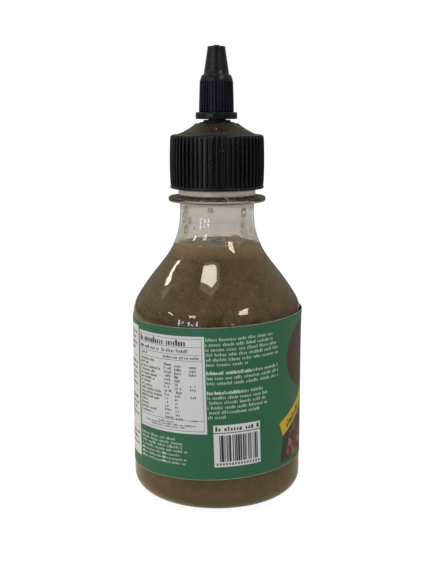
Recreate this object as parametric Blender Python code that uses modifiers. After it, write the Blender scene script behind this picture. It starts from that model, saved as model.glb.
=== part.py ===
# Squeezable hot sauce bottle: a clear plastic shell with a neck ring, the sauce in it,
# a wrapped label that sits slightly askew, a ribbed screw cap and the ribbed tip over its nozzle.
# Metres, +Z up, origin at the middle of the base. The label's printed panels face -Y.

import math

import bpy
from mathutils import Matrix

MM = 0.001

# Shared fits and fineness
CLEARANCE = 0.3 * MM
MERGE_DISTANCE = 0.001 * MM
ROUND_STEPS = 48
TIP_STEPS = 36
SHARP_ANGLE = math.radians(35)

# Shell: body, shoulder and base
BODY_RADIUS = 29.0 * MM
WALL = 1.2 * MM
HEEL_WIDTH = 9.5 * MM
HEEL_HEIGHT = 7.3 * MM
STANDING_WIDTH = 4.5 * MM
BASE_DOME_HEIGHT = 2.6 * MM
NECK_FOOT_HEIGHT = 98.0 * MM
NECK_FLARE_RADIUS = 26.0 * MM
SHOULDER_SLOPE = math.radians(38.6)
SHOULDER_BEND_RADIUS = 80.0 * MM
SHOULDER_LOW_SLOPE = math.radians(31.5)
BODY_CORNER_RADIUS = 13.8 * MM

# Shell: neck, support ring and mouth
NECK_RADIUS = 12.65 * MM
RING_RADIUS = 16.5 * MM
RING_BOTTOM = 102.0 * MM
RING_TOP = 103.65 * MM
RING_EDGE = 0.55 * MM
RING_FILLET = 0.5 * MM
NECK_BAND_RADIUS = 13.05 * MM
NECK_BAND_TOP = 106.2 * MM
FINISH_RADIUS = 12.45 * MM
MOUTH_HEIGHT = 121.0 * MM

# Sauce, with the rings of its top as shares of the radius
SAUCE_LEVEL = 87.4 * MM
SAUCE_RIPPLE = 0.25 * MM
SAUCE_TOP_RINGS = (0, 0.35, 0.7)

# Label: a thin sleeve, lower at the left of the front and higher at the right
LABEL_RADIUS = 29.15 * MM
LABEL_THICKNESS = 0.25 * MM
LABEL_BOTTOM = 12.75 * MM
LABEL_TOP = 63.95 * MM
LABEL_RISE_RIGHT = 1.25 * MM
LABEL_RISE_BACK = 0.45 * MM

# Cap: skirt, dished top and nozzle
CAP_BOTTOM = 106.4 * MM
CAP_LIP_HEIGHT = 1.0 * MM
CAP_LIP_RADIUS = 15.9 * MM
CAP_SKIRT_TOP = 124.4 * MM
CAP_CORE_RADIUS = 15.1 * MM
CAP_BORE_RADIUS = NECK_BAND_RADIUS + CLEARANCE
CAP_RIBS = 56
CAP_RIB_RADIUS = 15.75 * MM
CAP_RIB_BULGE = 0.25 * MM
CAP_RIB_DEPTH = 0.4 * MM
CAP_DISH_TOP = 128.1 * MM
CAP_DISH_RIM_RADIUS = 7.2 * MM
CAP_DISH_RADIUS = 22.0 * MM
CAP_DISH_STEEP = math.radians(50)
CAP_DISH_SHALLOW = math.radians(68)
NOZZLE_RADIUS = 4.6 * MM
NOZZLE_FOOT_RADIUS = 6.0 * MM
NOZZLE_FOOT_HEIGHT = 0.35 * MM
SPIGOT_RADIUS = 3.0 * MM
SPIGOT_TOP = 135.2 * MM

# Tip: flange, ribbed sleeve and tapering point with a raised dot
TIP_SHIFT = -0.2 * MM
TIP_BOTTOM = 129.55 * MM
TIP_FLANGE_TOP = 131.8 * MM
TIP_FLANGE_RADIUS = 7.0 * MM
TIP_CORE_RADIUS = 5.1 * MM
TIP_COLLAR_RADIUS = 5.45 * MM
TIP_COLLAR_TOP = 142.4 * MM
TIP_COLLAR_BOTTOM = 142.1 * MM
TIP_LEDGE_HEIGHT = 144.1 * MM
TIP_LEDGE_RADIUS = 4.95 * MM
TIP_CONE_FOOT_RADIUS = 4.3 * MM
TIP_CONE_HEAD_RADIUS = 3.05 * MM
TIP_CONE_HEAD_HEIGHT = 152.6 * MM
TIP_TOP = 153.5 * MM
TIP_DOT_RADIUS = 1.1 * MM
TIP_DOT_HEIGHT = 0.35 * MM
TIP_RIBS = 34
TIP_RIB_LOW_RADIUS = 5.88 * MM
TIP_RIB_HIGH_RADIUS = 5.6 * MM
TIP_RIB_DEPTH = 0.4 * MM
SOCKET_RADIUS = SPIGOT_RADIUS + CLEARANCE - TIP_SHIFT
SOCKET_TOP = SPIGOT_TOP + 0.5 * MM


def clear_scene():
    for item in list(bpy.data.objects):
        bpy.data.objects.remove(item, do_unlink=True)


def new_collection(name):
    collection = bpy.data.collections.new(name)
    bpy.context.scene.collection.children.link(collection)
    return collection


def linear(shade):
    """One 0 to 255 screen value as the linear value that shaders use."""
    shade = shade / 255
    return shade / 12.92 if shade <= 0.04045 else ((shade + 0.055) / 1.055) ** 2.4


def finish(name, shades, roughness, alpha=1.0, transmission=0.0):
    material = bpy.data.materials.new(name)
    material.use_nodes = True
    shader = material.node_tree.nodes["Principled BSDF"]
    shader.inputs["Base Color"].default_value = (*map(linear, shades), 1.0)
    shader.inputs["Roughness"].default_value = roughness
    shader.inputs["Metallic"].default_value = 0.0
    shader.inputs["Alpha"].default_value = alpha
    shader.inputs["Transmission Weight"].default_value = transmission
    material.diffuse_color = (*map(linear, shades), alpha)
    return material


def arc(centre, radii, start, end, steps):
    """Points on an ellipse from one angle to another, in degrees from +r towards +z."""
    points = []
    for step in range(steps + 1):
        angle = math.radians(start + (end - start) * step / steps)
        points.append((centre[0] + radii[0] * math.cos(angle), centre[1] + radii[1] * math.sin(angle)))
    return points


def bend(start, radius, slope_from, slope_to, steps):
    """Points that follow a start on a round bend; a slope is the angle out from straight down."""
    turn = 1 if slope_to > slope_from else -1
    points = []
    for step in range(1, steps + 1):
        slope = slope_from + (slope_to - slope_from) * step / steps
        r = start[0] + turn * radius * (math.cos(slope_from) - math.cos(slope))
        z = start[1] - turn * radius * (math.sin(slope) - math.sin(slope_from))
        points.append((r, z))
    return points


def shoulder(inset, steps):
    """The outline from the neck's foot out to the body, this far inside the shell's outer face."""
    bends_width = (
        NECK_FLARE_RADIUS * (1 - math.cos(SHOULDER_SLOPE))
        + SHOULDER_BEND_RADIUS * (math.cos(SHOULDER_LOW_SLOPE) - math.cos(SHOULDER_SLOPE))
        + BODY_CORNER_RADIUS * (1 - math.cos(SHOULDER_LOW_SLOPE))
    )
    straight = (BODY_RADIUS - NECK_RADIUS - bends_width) / math.sin(SHOULDER_SLOPE)
    points = [(NECK_RADIUS - inset, NECK_FOOT_HEIGHT)]
    points += bend(points[-1], NECK_FLARE_RADIUS + inset, 0, SHOULDER_SLOPE, steps)
    points.append((points[-1][0] + straight * math.sin(SHOULDER_SLOPE),
                   points[-1][1] - straight * math.cos(SHOULDER_SLOPE)))
    points += bend(points[-1], SHOULDER_BEND_RADIUS - inset, SHOULDER_SLOPE, SHOULDER_LOW_SLOPE, 2)
    points += bend(points[-1], BODY_CORNER_RADIUS - inset, SHOULDER_LOW_SLOPE, 0, steps)
    return points


def underside(inset, steps):
    """The outline from the body round the heel, over the standing band and up into the base's dome."""
    centre = (BODY_RADIUS - HEEL_WIDTH, HEEL_HEIGHT)
    points = arc(centre, (HEEL_WIDTH - inset, HEEL_HEIGHT - inset), 0, -90, steps)
    dome_radius = centre[0] - STANDING_WIDTH
    points += arc((0, inset), (dome_radius, BASE_DOME_HEIGHT), 0, 90, 3)
    return points


def below(points, level):
    """The part of a falling outline under a level, with a new first point on it."""
    for upper, lower in zip(points, points[1:]):
        if upper[1] > level >= lower[1]:
            share = (upper[1] - level) / (upper[1] - lower[1])
            first = (upper[0] + (lower[0] - upper[0]) * share, level)
            return [first] + [point for point in points if point[1] < level]
    return points


def turned(name, outline, collection, steps=ROUND_STEPS, closed=False):
    """A solid turned about Z from an outline of (radius, height) points, outer side first."""
    count = len(outline)
    edges = [(i, i + 1) for i in range(count - 1)]
    if closed:
        edges.append((count - 1, 0))
    profile = bpy.data.meshes.new(name)
    profile.from_pydata([(r, 0.0, z) for r, z in outline], edges, [])
    item = bpy.data.objects.new(name, profile)
    collection.objects.link(item)
    screw = item.modifiers.new("Turn", "SCREW")
    screw.axis = "Z"
    screw.steps = steps
    screw.render_steps = steps
    screw.use_merge_vertices = True
    screw.merge_threshold = MERGE_DISTANCE
    apply_modifiers(item)
    return item


def apply_modifiers(item):
    bpy.context.view_layer.update()
    evaluated = item.evaluated_get(bpy.context.evaluated_depsgraph_get())
    mesh = bpy.data.meshes.new_from_object(evaluated)
    mesh.name = item.name
    old = item.data
    item.modifiers.clear()
    item.data = mesh
    bpy.data.meshes.remove(old)


def dress(item, material):
    item.data.shade_smooth()
    item.data.set_sharp_from_angle(angle=SHARP_ANGLE)
    item.data.materials.clear()
    item.data.materials.append(material)


def combine(item, tool, operation):
    """Joins the tool to the item, or cuts it out of it, for good."""
    boolean = item.modifiers.new(operation.title(), "BOOLEAN")
    boolean.operation = operation
    boolean.solver = "EXACT"
    boolean.object = tool
    apply_modifiers(item)


def set_apart(tool, cutters):
    """Keeps a cutter or guide out of the model."""
    for collection in list(tool.users_collection):
        collection.objects.unlink(tool)
    cutters.objects.link(tool)
    tool.hide_render = True
    tool.display_type = "WIRE"


def ribbed_band(name, outline, ribs, depth, collection):
    """A turned ring whose outer face is grooved between its ribs, with three points to a rib."""
    band = turned(name, outline, collection, steps=ribs * 3, closed=True)
    inner_radius = min(r for r, z in outline) + depth
    for vertex in band.data.vertices:
        radius = vertex.co.xy.length
        if radius < inner_radius:
            continue
        turn = math.atan2(vertex.co.y, vertex.co.x) / (2 * math.pi)
        on_rib = round(turn * ribs * 3) % 3 == 0
        if not on_rib:
            vertex.co.xy *= (radius - depth) / radius
    return band


def make_bottle(parts, cutters):
    """The shell, from its mouth down the outside, under the base and back up the inside."""
    ring_edges = arc((RING_RADIUS - RING_EDGE, RING_TOP - RING_EDGE), (RING_EDGE, RING_EDGE), 60, 0, 2)
    ring_edges += arc((RING_RADIUS - RING_EDGE, RING_BOTTOM + RING_EDGE), (RING_EDGE, RING_EDGE), 0, -60, 2)
    outside = [
        (FINISH_RADIUS, MOUTH_HEIGHT),
        (FINISH_RADIUS, NECK_BAND_TOP + RING_FILLET),
        (NECK_BAND_RADIUS, NECK_BAND_TOP),
        (NECK_BAND_RADIUS, RING_TOP + RING_FILLET),
        (NECK_BAND_RADIUS + RING_FILLET, RING_TOP + RING_FILLET / 3),
        *ring_edges,
        (NECK_RADIUS + RING_FILLET, RING_BOTTOM - RING_FILLET / 2),
        (NECK_RADIUS, RING_BOTTOM - 2 * RING_FILLET),
        *shoulder(0, 5),
        *underside(0, 5),
    ]
    bore = FINISH_RADIUS - WALL
    inside = [(bore, MOUTH_HEIGHT), *shoulder(WALL, 4), *underside(WALL, 4)]
    bottle = turned("bottle", inside[::-1] + outside, parts)

    groove_radius = LABEL_RADIUS + CLEARANCE
    groove = label_sleeve("label_groove", groove_radius, LABEL_THICKNESS + 2 * CLEARANCE, CLEARANCE, parts)
    combine(bottle, groove, "DIFFERENCE")
    set_apart(groove, cutters)
    dress(bottle, finish("clear_plastic", (205, 200, 190), 0.08, 0.35, 0.9))
    return bottle


def label_sleeve(name, outer_radius, thickness, margin, collection):
    """A thin ring with plane ends, sheared so that it stands higher at the right and the back."""
    bottom = LABEL_BOTTOM - margin
    top = LABEL_TOP + margin
    inner_radius = outer_radius - thickness
    outline = [(outer_radius, top), (outer_radius, bottom), (inner_radius, bottom), (inner_radius, top)]
    sleeve = turned(name, outline, collection, closed=True)
    shear = Matrix.Identity(4)
    shear[2][0] = LABEL_RISE_RIGHT / LABEL_RADIUS
    shear[2][1] = LABEL_RISE_BACK / LABEL_RADIUS
    shear[2][3] = LABEL_RISE_BACK
    sleeve.data.transform(shear)
    return sleeve


def make_label(parts):
    label = label_sleeve("label", LABEL_RADIUS, LABEL_THICKNESS, 0, parts)
    dress(label, finish("printed_film", (51, 93, 74), 0.35))
    return label


def make_sauce(parts):
    """The sauce fills the shell up to its level, with a slightly uneven top."""
    inset = WALL + CLEARANCE
    side = below(shoulder(inset, 4) + underside(inset, 4), SAUCE_LEVEL)
    surface_radius = side[0][0]
    top = [(surface_radius * share, SAUCE_LEVEL) for share in SAUCE_TOP_RINGS]
    sauce = turned("sauce", top + side, parts)
    for vertex in sauce.data.vertices:
        share = vertex.co.xy.length / surface_radius
        if vertex.co.z > SAUCE_LEVEL - MERGE_DISTANCE and share < 0.9:
            turn = math.atan2(vertex.co.y, vertex.co.x)
            vertex.co.z += SAUCE_RIPPLE * share * (math.sin(3 * turn) + math.cos(2 * turn + 1))
    dress(sauce, finish("green_chilli_sauce", (93, 76, 53), 0.3))
    return sauce


def make_cap(parts, cutters):
    """Skirt and lip below, a dished top, and the nozzle that the tip sits on."""
    dish = [(CAP_DISH_RIM_RADIUS, CAP_DISH_TOP)]
    dish += bend(dish[0], CAP_DISH_RADIUS, CAP_DISH_STEEP, CAP_DISH_SHALLOW, 5)
    lip_edge = 0.25 * MM
    core = turned("cap", [
        (0, SPIGOT_TOP),
        (SPIGOT_RADIUS, SPIGOT_TOP),
        (SPIGOT_RADIUS, TIP_BOTTOM - CLEARANCE),
        (NOZZLE_RADIUS, TIP_BOTTOM - CLEARANCE),
        (NOZZLE_RADIUS, CAP_DISH_TOP + NOZZLE_FOOT_HEIGHT),
        (NOZZLE_FOOT_RADIUS, CAP_DISH_TOP + NOZZLE_FOOT_HEIGHT),
        (NOZZLE_FOOT_RADIUS, CAP_DISH_TOP),
        *dish,
        (CAP_CORE_RADIUS, CAP_SKIRT_TOP),
        (CAP_CORE_RADIUS, CAP_BOTTOM + CAP_LIP_HEIGHT),
        (CAP_LIP_RADIUS, CAP_BOTTOM + CAP_LIP_HEIGHT),
        (CAP_LIP_RADIUS, CAP_BOTTOM + lip_edge),
        (CAP_LIP_RADIUS - lip_edge, CAP_BOTTOM),
        (CAP_BORE_RADIUS, CAP_BOTTOM),
        (CAP_BORE_RADIUS, MOUTH_HEIGHT + CLEARANCE),
        (0, MOUTH_HEIGHT + CLEARANCE),
    ], parts)

    band_top = CAP_SKIRT_TOP - 0.2 * MM
    band_bottom = CAP_BOTTOM + CAP_LIP_HEIGHT - 0.3 * MM
    middle = (band_top + band_bottom) / 2
    inner_radius = (CAP_CORE_RADIUS + CAP_BORE_RADIUS) / 2
    band = ribbed_band("cap_ribs", [
        (CAP_RIB_RADIUS - 0.1 * MM, band_top),
        (CAP_RIB_RADIUS + 0.1 * MM, band_top - 0.5 * MM),
        (CAP_RIB_RADIUS + CAP_RIB_BULGE, middle),
        (CAP_RIB_RADIUS, band_bottom),
        (inner_radius, band_bottom),
        (inner_radius, band_top),
    ], CAP_RIBS, CAP_RIB_DEPTH, parts)
    combine(core, band, "UNION")
    set_apart(band, cutters)
    dress(core, finish("black_cap_plastic", (23, 23, 27), 0.4))
    return core


def make_tip(parts, cutters):
    """Flange, ribbed sleeve, ledge and taper, with a socket below that takes the nozzle."""
    edge = 0.25 * MM
    core = turned("tip", [
        (0, TIP_TOP + TIP_DOT_HEIGHT),
        (TIP_DOT_RADIUS - edge, TIP_TOP + TIP_DOT_HEIGHT),
        (TIP_DOT_RADIUS, TIP_TOP),
        (TIP_CONE_HEAD_RADIUS - 2 * edge, TIP_TOP),
        (TIP_CONE_HEAD_RADIUS - edge, TIP_TOP - edge),
        (TIP_CONE_HEAD_RADIUS, TIP_CONE_HEAD_HEIGHT),
        (TIP_CONE_FOOT_RADIUS, TIP_LEDGE_HEIGHT + edge),
        (TIP_LEDGE_RADIUS, TIP_LEDGE_HEIGHT),
        (TIP_LEDGE_RADIUS, TIP_LEDGE_HEIGHT - edge),
        (TIP_COLLAR_RADIUS, TIP_COLLAR_TOP),
        (TIP_COLLAR_RADIUS, TIP_COLLAR_BOTTOM),
        (TIP_CORE_RADIUS - edge, TIP_COLLAR_BOTTOM),
        (TIP_CORE_RADIUS, TIP_FLANGE_TOP),
        (TIP_FLANGE_RADIUS - edge, TIP_FLANGE_TOP),
        (TIP_FLANGE_RADIUS, TIP_FLANGE_TOP - edge),
        (TIP_FLANGE_RADIUS, TIP_BOTTOM + edge),
        (TIP_FLANGE_RADIUS - edge, TIP_BOTTOM),
        (SOCKET_RADIUS, TIP_BOTTOM),
        (SOCKET_RADIUS, SOCKET_TOP),
        (0, SOCKET_TOP),
    ], parts, TIP_STEPS)

    band_top = (TIP_COLLAR_TOP + TIP_COLLAR_BOTTOM) / 2
    band_bottom = TIP_FLANGE_TOP - edge
    inner_radius = TIP_CORE_RADIUS - 1.0 * MM
    band = ribbed_band("tip_ribs", [
        (TIP_COLLAR_RADIUS - 0.15 * MM, band_top),
        (TIP_RIB_HIGH_RADIUS, TIP_COLLAR_BOTTOM - edge),
        (TIP_RIB_LOW_RADIUS, band_bottom),
        (inner_radius, band_bottom),
        (inner_radius, band_top),
    ], TIP_RIBS, TIP_RIB_DEPTH, parts)
    combine(core, band, "UNION")
    set_apart(band, cutters)
    core.location.x = TIP_SHIFT
    dress(core, finish("black_tip_plastic", (33, 35, 40), 0.35))
    return core


def main():
    clear_scene()
    parts = new_collection("hot_sauce_bottle")
    cutters = new_collection("cutters")
    foot = bpy.data.objects.new("hot_sauce_bottle_foot", None)
    foot.empty_display_size = 10 * MM
    parts.objects.link(foot)
    pieces = [
        make_bottle(parts, cutters),
        make_sauce(parts),
        make_label(parts),
        make_cap(parts, cutters),
        make_tip(parts, cutters),
    ]
    for piece in pieces:
        piece.parent = foot


main()
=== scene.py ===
import math

import bmesh
import bpy
from mathutils import Matrix, Vector, noise


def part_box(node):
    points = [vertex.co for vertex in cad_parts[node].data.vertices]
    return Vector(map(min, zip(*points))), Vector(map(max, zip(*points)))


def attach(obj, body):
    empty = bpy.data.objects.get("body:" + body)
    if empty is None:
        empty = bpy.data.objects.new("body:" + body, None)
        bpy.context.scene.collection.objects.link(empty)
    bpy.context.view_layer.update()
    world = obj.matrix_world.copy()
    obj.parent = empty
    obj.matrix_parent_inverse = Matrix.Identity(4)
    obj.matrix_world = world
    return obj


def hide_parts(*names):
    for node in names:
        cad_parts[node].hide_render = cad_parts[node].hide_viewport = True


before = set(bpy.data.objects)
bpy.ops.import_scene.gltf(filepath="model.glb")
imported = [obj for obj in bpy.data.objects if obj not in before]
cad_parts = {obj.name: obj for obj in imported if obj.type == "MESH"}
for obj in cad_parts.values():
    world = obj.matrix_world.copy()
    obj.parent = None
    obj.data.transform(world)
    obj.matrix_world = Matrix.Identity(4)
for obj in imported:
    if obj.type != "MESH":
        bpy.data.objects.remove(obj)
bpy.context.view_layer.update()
mm = 0.001
print("frame loaded with", ", ".join(sorted(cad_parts)))


# Small helpers

def tone(red, green, blue):
    # a screen colour from 0 to 255 as the linear colour that shaders take
    shades = [shade / 255 for shade in (red, green, blue)]
    return (*[s / 12.92 if s <= 0.04045 else ((s + 0.055) / 1.055) ** 2.4 for s in shades], 1.0)


class Wire:
    # one node socket, so that sums of sockets and numbers read as plain Python
    def __init__(self, nodes, socket):
        self.nodes = nodes
        self.socket = socket

    def math(self, operation, *others, clamp=False):
        sockets = dict(enumerate((self, *others)))
        return self.nodes.add("ShaderNodeMath", {"operation": operation, "use_clamp": clamp}, sockets)

    def __add__(self, other):
        return self.math("ADD", other)

    def __sub__(self, other):
        return self.math("SUBTRACT", other)

    def __rsub__(self, other):
        return self.math("MULTIPLY_ADD", -1, other)

    def __mul__(self, other):
        return self.math("MULTIPLY", other)

    def __truediv__(self, other):
        return self.math("DIVIDE", other)

    def __pow__(self, other):
        return self.math("POWER", other)

    def __abs__(self):
        return self.math("ABSOLUTE")

    __radd__ = __add__
    __rmul__ = __mul__

    def clamped(self):
        return self.math("ADD", 0.0, clamp=True)

    def above(self, edge, soft):
        # 0 well below the edge and 1 well above it
        return ((self - edge) * (1 / soft)).math("ADD", 0.5, clamp=True)

    def between(self, low, high, soft):
        return self.above(low, soft) * (1 - self.above(high, soft))


class Nodes:
    # one node tree that nodes are added to
    def __init__(self, tree):
        self.tree = tree

    def add(self, kind, settings=None, sockets=None, out=0):
        node = self.tree.nodes.new(kind)
        for name, value in (settings or {}).items():
            if name == "stops":
                self.setStops(node.color_ramp, value)
            else:
                setattr(node, name, value)
        for name, value in (sockets or {}).items():
            self.feed(node.inputs[name], value)
        if isinstance(out, tuple):
            return [Wire(self, node.outputs[name]) for name in out]
        return Wire(self, node.outputs[out])

    def setStops(self, ramp, stops):
        while len(ramp.elements) < len(stops):
            ramp.elements.new(1.0)
        for element, (place, colour) in zip(ramp.elements, stops):
            element.position = place
            element.color = colour

    def feed(self, socket, value):
        if isinstance(value, Wire):
            self.tree.links.new(value.socket, socket)
        else:
            socket.default_value = value

    def paint(self, values):
        # gives the shader what varies over the surface
        for name, value in values.items():
            self.feed(self.tree.nodes["Principled BSDF"].inputs[name], value)

    def blend(self, share, first, second):
        # one colour going over into another
        return self.add("ShaderNodeMix", {"data_type": "RGBA"}, {0: share, 6: first, 7: second}, out=2)

    def blendShaders(self, share, first, second):
        return self.add("ShaderNodeMixShader", None, {0: share, 1: first, 2: second})

    def ramp(self, share, *stops):
        return self.add("ShaderNodeValToRGB", {"stops": stops}, {"Fac": share})

    def vector(self, x=0.0, y=0.0, z=0.0):
        return self.add("ShaderNodeCombineXYZ", None, {0: x, 1: y, 2: z})

    def parts(self, vector):
        # the three numbers of a vector or a colour
        return self.add("ShaderNodeSeparateXYZ", None, {0: vector}, out=(0, 1, 2))

    def place(self):
        # the point on the piece, as a vector and as x, y and z in mm
        spot = self.add("ShaderNodeTexCoord", out="Object")
        return spot, [part * (1 / mm) for part in self.parts(spot)]

    def grain(self, spot, size, detail=2.0, stretch=None):
        # soft noise from 0 to 1 whose blotches are about this many mm across
        if stretch:
            spot = self.add("ShaderNodeMapping", None, {"Vector": spot, "Scale": stretch})
        sockets = {"Vector": spot, "Scale": 1 / (size * mm), "Detail": detail}
        return self.add("ShaderNodeTexNoise", None, sockets)

    def bump(self, height, strength, depth):
        # a relief this many mm deep
        sockets = {"Strength": strength, "Distance": depth * mm, "Height": height}
        return self.add("ShaderNodeBump", None, sockets)

    def rayKinds(self):
        # 1 for rays straight from the camera, and 1 for rays that something glossy mirrors
        names = ("Is Camera Ray", "Is Glossy Ray", "Is Reflection Ray")
        seen, glossy, reflected = self.add("ShaderNodeLightPath", out=names)
        return seen, glossy * reflected

    def chance(self, low, high, seed):
        # a random number for each point
        sockets = {2: low, 3: high, "Seed": seed}
        return self.add("FunctionNodeRandomValue", {"data_type": "FLOAT"}, sockets, out=1)


def distance(across, upward):
    # how long the two are together, such as x and y from the bottle's axis
    return (across * across + upward * upward).math("SQRT")


def turnOf(x, y):
    # the turn about the axis in radians, from the front towards the right
    return x.math("ARCTAN2", y * -1)


def newFinish(name, fixed):
    # a material and its nodes; its shader gets the values that are the same all over
    material = bpy.data.materials.new(name)
    material.use_nodes = True
    nodes = Nodes(material.node_tree)
    nodes.paint(fixed)
    return material, nodes


def grainFinish(name, roughness, size, first, second, detail=2.0, sharp=None):
    # a finish that wanders from one colour to another
    material, nodes = newFinish(name, {"Roughness": roughness})
    share = nodes.grain(nodes.place()[0], size, detail)
    if sharp:
        share = share.above(0.5, sharp)
    nodes.paint({"Base Color": nodes.blend(share, first, second)})
    return material


def onCircle(radius, turn, height):
    # a point in metres from mm; turn is in degrees from the front towards the right
    angle = math.radians(turn)
    return Vector((radius * math.sin(angle), -radius * math.cos(angle), height)) * mm


def evenTurns(steps, extra=()):
    turns = [-180 + 360 * step / steps for step in range(steps)]
    return sorted(turns + [turn for turn in extra if turn not in turns])


def arc(centre, radius, start, end, steps, rise=None):
    # points on a circle, or on an ellipse with this rise; angles in degrees from +r towards +z
    rise = radius if rise is None else rise
    angles = [math.radians(start + (end - start) * step / steps) for step in range(steps + 1)]
    return [(centre[0] + radius * math.cos(a), centre[1] + rise * math.sin(a)) for a in angles]


def bend(start, radius, slopeFrom, slopeTo, steps):
    # points on a round bend after a start; a slope is in degrees out from straight down
    turn = 1 if slopeTo > slopeFrom else -1
    first = math.radians(slopeFrom)
    points = []
    for step in range(1, steps + 1):
        slope = math.radians(slopeFrom + (slopeTo - slopeFrom) * step / steps)
        points.append((start[0] + turn * radius * (math.cos(first) - math.cos(slope)),
                       start[1] - turn * radius * (math.sin(slope) - math.sin(first))))
    return points


def newObject(name, data):
    item = bpy.data.objects.new(name, data)
    bpy.context.scene.collection.objects.link(item)
    return item


def newPiece(name, made):
    mesh = bpy.data.meshes.new(name)
    made.to_mesh(mesh)
    made.free()
    return newObject(name, mesh)


def plainMesh(item):
    # what an object's curve or modifiers give, as a mesh of its own
    bpy.context.view_layer.update()
    drawn = item.evaluated_get(bpy.context.evaluated_depsgraph_get())
    return bpy.data.meshes.new_from_object(drawn)


def lathe(name, outline, turns, shape=None, closed=False):
    # turns an outline of (radius, height) in mm about the axis; shape may shift each point
    made = bmesh.new()
    rings = []
    for radius, height in outline:
        points = [(radius, turn, height) for turn in (turns if radius > 1e-6 else [0])]
        if shape:
            points = [shape(*point) for point in points]
        rings.append([made.verts.new(onCircle(*point)) for point in points])
    pairs = list(zip(rings, rings[1:]))
    if closed:
        pairs.append((rings[-1], rings[0]))
    for upper, lower in pairs:
        for step in range(len(turns)):
            after = (step + 1) % len(turns)
            corners = [upper[step % len(upper)], upper[after % len(upper)],
                       lower[after % len(lower)], lower[step % len(lower)]]
            made.faces.new(tuple(dict.fromkeys(corners)))  # three corners at a pole
    bmesh.ops.recalc_face_normals(made, faces=made.faces)
    return newPiece(name, made)


def settle(item, material, slotName, *stoodFor):
    # smooths a finished piece and ties it to the frame
    sharpAngle = 38
    item.data.materials.clear()
    item.data.materials.append(material)
    item.data.shade_smooth()
    item.data.set_sharp_from_angle(angle=math.radians(sharpAngle))
    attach(item, "root")
    if stoodFor:
        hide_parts(*stoodFor)
    print("made", item.name, "with", len(item.data.polygons), "faces")


# Geometry Nodes

def newTree(name, inputs):
    # an empty geometry tree with its inputs as wires; inputs gives the names of each kind
    tree = bpy.data.node_groups.new(name, "GeometryNodeTree")
    for kind, titles in inputs.items():
        for title in titles:
            tree.interface.new_socket(title, in_out="INPUT", socket_type="NodeSocket" + kind)
    tree.interface.new_socket("Geometry", in_out="OUTPUT", socket_type="NodeSocketGeometry")
    entry = tree.nodes.new("NodeGroupInput")
    nodes = Nodes(tree)
    return tree, nodes, {socket.name: Wire(nodes, socket) for socket in entry.outputs if socket.name}


def endTree(nodes, geometry, material):
    painted = nodes.add("GeometryNodeSetMaterial", None, {"Geometry": geometry, "Material": material})
    last = nodes.tree.nodes.new("NodeGroupOutput")
    nodes.feed(last.inputs[0], painted)


def grow(name, tree, values, base=None):
    # runs a tree on a mesh, or on an empty one, and keeps the result as a plain mesh
    item = newObject(name, base or bpy.data.meshes.new(name + "Base"))
    modifier = item.modifiers.new(name, "NODES")
    modifier.node_group = tree
    sockets = {s.name: s.identifier for s in tree.interface.items_tree if s.in_out == "INPUT"}
    for title, value in values.items():
        modifier[sockets[title]] = value
    item.data = plainMesh(item)
    item.data.name = name
    item.modifiers.clear()
    return item


def joinPieces(name, items):
    # several grown pieces as one mesh
    made = bmesh.new()
    for item in items:
        made.from_mesh(item.data)
        bpy.data.objects.remove(item)
    return newPiece(name, made)


def ribTree():
    # upright ribs with blunt ends in a ring about the axis
    bluntness, pathSteps, roundSteps = 24, 28, 14
    tree, nodes, given = newTree("ribRing", {
        "Int": ["Ribs"], "Material": ["Material"],
        "Float": ["Foot radius", "Middle radius", "Head radius", "Foot height", "Head height",
                  "Rib width", "Shift"],
    })
    middleHeight = (given["Foot height"] + given["Head height"]) * 0.5
    path = nodes.add("GeometryNodeCurveQuadraticBezier", None, {
        "Resolution": pathSteps,
        "Start": nodes.vector(x=given["Foot radius"], z=given["Foot height"]),
        "Middle": nodes.vector(x=given["Middle radius"], z=middleHeight),
        "End": nodes.vector(x=given["Head radius"], z=given["Head height"]),
    })
    share = nodes.add("GeometryNodeSplineParameter", out="Factor")
    ending = (1 - abs(share * 2 - 1) ** bluntness).math("SQRT")
    profile = nodes.add("GeometryNodeCurvePrimitiveCircle", None,
                        {"Resolution": roundSteps, "Radius": given["Rib width"] * 0.5})
    rib = nodes.add("GeometryNodeCurveToMesh", None,
                    {"Curve": path, "Profile Curve": profile, "Scale": ending, "Fill Caps": True})
    spots = nodes.add("GeometryNodePoints", None, {"Count": given["Ribs"]})
    angle = nodes.add("GeometryNodeInputIndex") * (2 * math.pi) / given["Ribs"]
    ring = nodes.add("GeometryNodeInstanceOnPoints", None,
                     {"Points": spots, "Instance": rib, "Rotation": nodes.vector(z=angle)})
    real = nodes.add("GeometryNodeRealizeInstances", None, {"Geometry": ring})
    moved = nodes.add("GeometryNodeSetPosition", None,
                      {"Geometry": real, "Offset": nodes.vector(x=given["Shift"])})
    endTree(nodes, moved, given["Material"])
    return tree


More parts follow.
